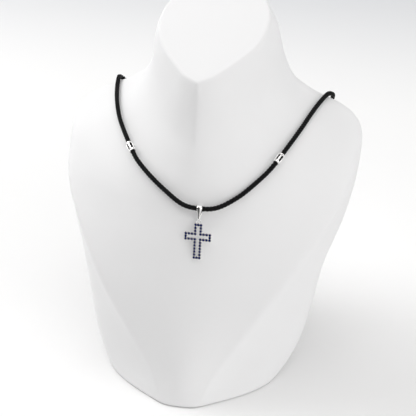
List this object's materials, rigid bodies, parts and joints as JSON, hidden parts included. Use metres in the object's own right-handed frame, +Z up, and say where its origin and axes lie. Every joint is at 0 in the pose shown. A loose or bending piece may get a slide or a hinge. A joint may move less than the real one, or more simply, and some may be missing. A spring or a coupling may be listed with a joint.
{
  "type": "cross pendant necklace on neck bust",
  "caption": "Open cross pendant set with dark blue stones on a black braided cord with two openwork metal beads, laid on a plain white neck bust with a flat foot.",
  "frame": {"origin": "middle of the box round the bust, on the surface that the bust stands on", "axes": "+Z up, the front with the pendant faces -Y, +X is to the right seen from the front"},
  "size_m": [0.18, 0.1594, 0.2114],
  "materials": {
    "bust": "matte white",
    "cord": "round black braid, slightly waxed",
    "clasp": "polished",
    "beads": "polished openwork",
    "bail": "mirror polished",
    "cross": "polished white metal",
    "stones": "faceted and polished"
  },
  "bodies": {
    "root": {"bust": "bust", "cord_left": "cord", "cord_right": "cord", "clasp": "clasp", "bead_left": "beads", "bead_right": "beads", "bail": "bail", "cross_frame": "cross", "stone_01": "stones", "stone_02": "stones", "stone_03": "stones", "stone_04": "stones", "stone_05": "stones", "stone_06": "stones", "stone_07": "stones", "stone_08": "stones", "stone_09": "stones", "stone_10": "stones", "stone_11": "stones", "stone_12": "stones", "stone_13": "stones", "stone_14": "stones", "stone_15": "stones", "stone_16": "stones", "stone_17": "stones", "stone_18": "stones", "stone_19": "stones", "stone_20": "stones", "stone_21": "stones", "stone_22": "stones", "stone_23": "stones", "stone_24": "stones", "stone_25": "stones", "stone_26": "stones", "stone_27": "stones", "stone_28": "stones", "stone_29": "stones", "stone_30": "stones", "stone_31": "stones", "stone_32": "stones", "stone_33": "stones", "stone_34": "stones", "stone_35": "stones", "stone_36": "stones", "stone_37": "stones", "stone_38": "stones"}
  },
  "joints": []
}
